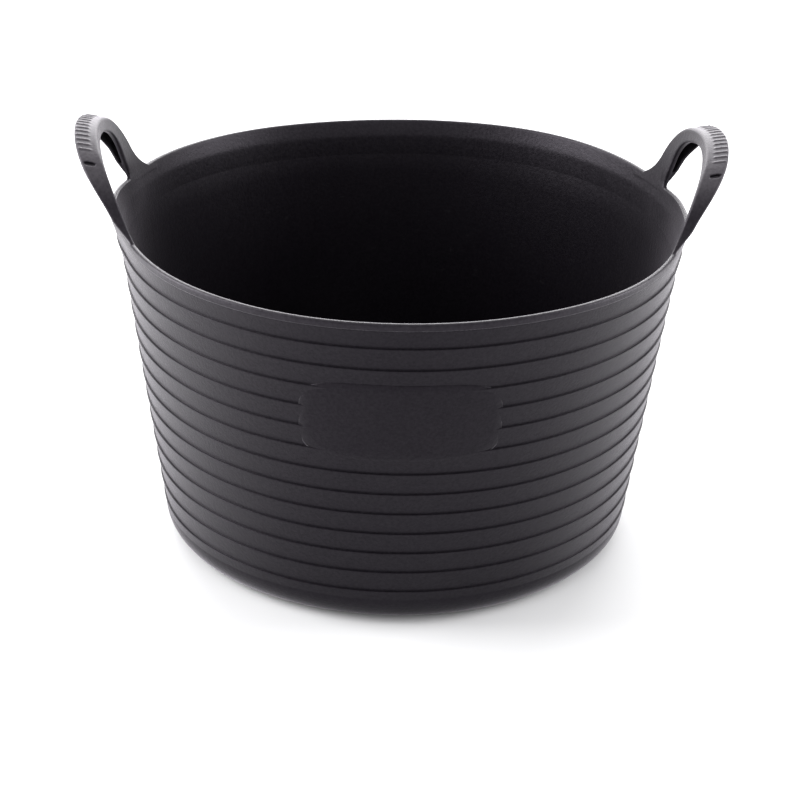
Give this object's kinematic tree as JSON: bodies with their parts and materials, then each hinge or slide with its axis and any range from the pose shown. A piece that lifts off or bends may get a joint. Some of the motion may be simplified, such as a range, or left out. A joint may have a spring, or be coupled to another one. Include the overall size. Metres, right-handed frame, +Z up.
{
  "type": "mixing tub",
  "caption": "Round flexible mixing tub with a stepped wall, rounded heel, thick rim and two ribbed loop handles that bend at their roots.",
  "frame": {"origin": "centre of the base, on the ground", "axes": "+Z up, handles at +X and -X, blank label panel facing -Y"},
  "size_m": [0.5512, 0.4798, 0.3486],
  "materials": {
    "tub_plastic": "semi-gloss with a fine grain"
  },
  "bodies": {
    "tub": {"tub_floor": "tub_plastic", "base_heel": "tub_plastic", "side_wall": "tub_plastic", "badge_panel": "tub_plastic", "rim_lip": "tub_plastic", "right_handle_roots": "tub_plastic", "left_handle_roots": "tub_plastic"},
    "right_handle": {"right_handle_loop": "tub_plastic", "right_grip_ribs": "tub_plastic"},
    "left_handle": {"left_handle_loop": "tub_plastic", "left_grip_ribs": "tub_plastic"}
  },
  "joints": [
    {"name": "right_handle_bend", "type": "hinge", "parent": "tub", "child": "right_handle", "pos_m": [0.2265, 0, 0.278], "axis": [0, -1, 0], "range_deg": [-15, 40], "stiffness_Nm_per_rad": 3},
    {"name": "left_handle_bend", "type": "hinge", "parent": "tub", "child": "left_handle", "pos_m": [-0.2265, 0, 0.278], "axis": [0, 1, 0], "range_deg": [-15, 40], "stiffness_Nm_per_rad": 3}
  ]
}
